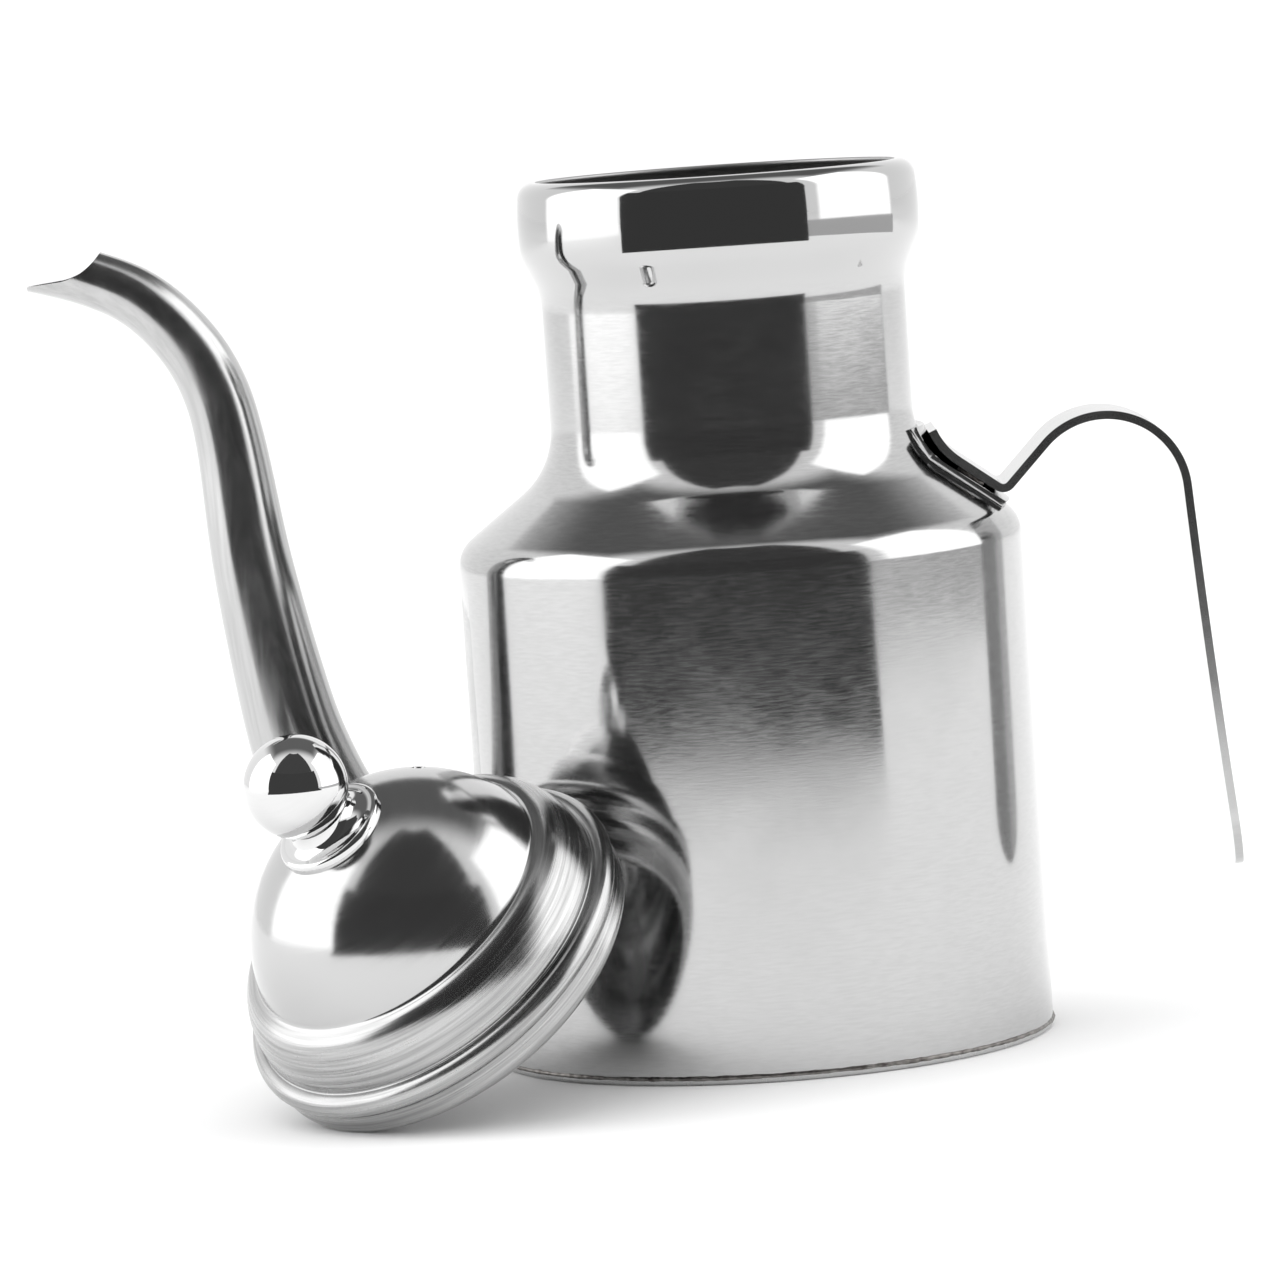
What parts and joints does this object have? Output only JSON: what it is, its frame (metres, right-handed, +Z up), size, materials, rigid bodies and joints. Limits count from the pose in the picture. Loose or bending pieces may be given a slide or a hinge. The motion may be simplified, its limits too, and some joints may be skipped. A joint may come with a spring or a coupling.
{
  "type": "gooseneck kettle",
  "caption": "Small stainless gooseneck kettle with a strap handle, a collared mouth and a loose domed lid with a ball knob.",
  "frame": {"origin": "centre of the base's underside, on the kettle's own axis", "axes": "+Z up along the kettle's axis, -X towards the spout's lip, +X towards the handle; the lid leans on the wall at -X -Y"},
  "size_m": [0.1975, 0.1318, 0.1475],
  "materials": {
    "polished_steel": "mirror polished stainless sheet",
    "satin_wall": "polished stainless with fine turned grain",
    "base_steel": "plain stainless disc",
    "weld": "ground weld bead",
    "knob_steel": "turned and polished stainless",
    "fastener": "bright stainless screw and washer"
  },
  "bodies": {
    "kettle": {"body_shell": "satin_wall", "base_disc": "base_steel", "base_weld": "weld", "spout": "polished_steel", "spout_weld": "weld", "strap": "polished_steel", "strap_plate": "polished_steel", "strap_tack_front": "weld", "strap_tack_back": "weld"},
    "knob": {"knob_ball": "knob_steel"},
    "lid": {"lid_shell": "polished_steel", "lid_plug": "satin_wall", "knob_foot": "knob_steel", "knob_screw": "fastener", "knob_washer": "fastener"}
  },
  "joints": [
    {"name": "lid_swing", "type": "hinge", "parent": "kettle", "child": "knob", "pos_m": [-0.07103, -0.06859, 0.16082], "axis": [-0.6947, 0.7193, 0], "range_deg": [0, 248.63]},
    {"name": "lid_tilt", "type": "hinge", "parent": "knob", "child": "lid", "pos_m": [-0.07419, -0.07165, 0.05652], "axis": [-0.6947, 0.7193, 0], "range_deg": [-207.63, 0]}
  ],
  "couplings": [
    {"joint": "lid_tilt", "follows": "lid_swing", "ratio": -0.83309}
  ]
}
